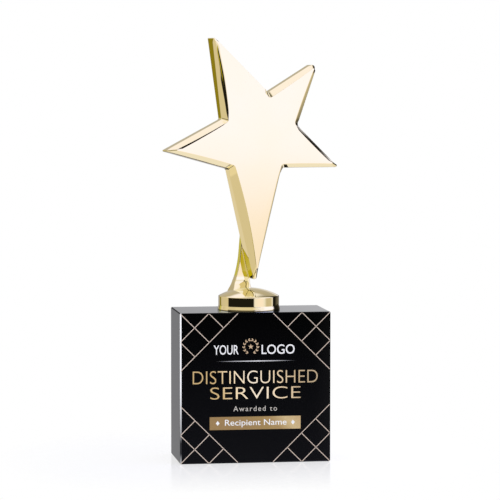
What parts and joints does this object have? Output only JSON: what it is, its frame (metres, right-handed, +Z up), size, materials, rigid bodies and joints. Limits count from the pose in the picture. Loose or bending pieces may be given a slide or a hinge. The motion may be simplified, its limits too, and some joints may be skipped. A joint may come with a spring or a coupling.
{
  "type": "star trophy",
  "caption": "Award trophy: a faceted mirror-gold star on a curved stem and domed foot, screwed to a black crystal block that stands on a table or shelf.",
  "frame": {"origin": "centre of the block's underside, the face that the trophy stands on", "axes": "+Z up; the block's printed front faces -Y; +X to the right of someone looking at the front"},
  "size_m": [0.093, 0.0382, 0.2125],
  "materials": {
    "black_crystal": "polished black optical crystal",
    "gold_plate": "mirror-polished gold plate on a zinc casting",
    "brass": "machined",
    "steel": "zinc plated",
    "gasket": "matt black foam rubber"
  },
  "bodies": {
    "root": {"crystal_block": "black_crystal", "threaded_insert": "brass", "mounting_stud": "steel", "foot_gasket": "gasket", "domed_foot": "gold_plate", "curved_stem": "gold_plate", "star_body": "gold_plate", "star_screw_lower": "steel", "star_screw_upper": "steel"}
  },
  "joints": []
}
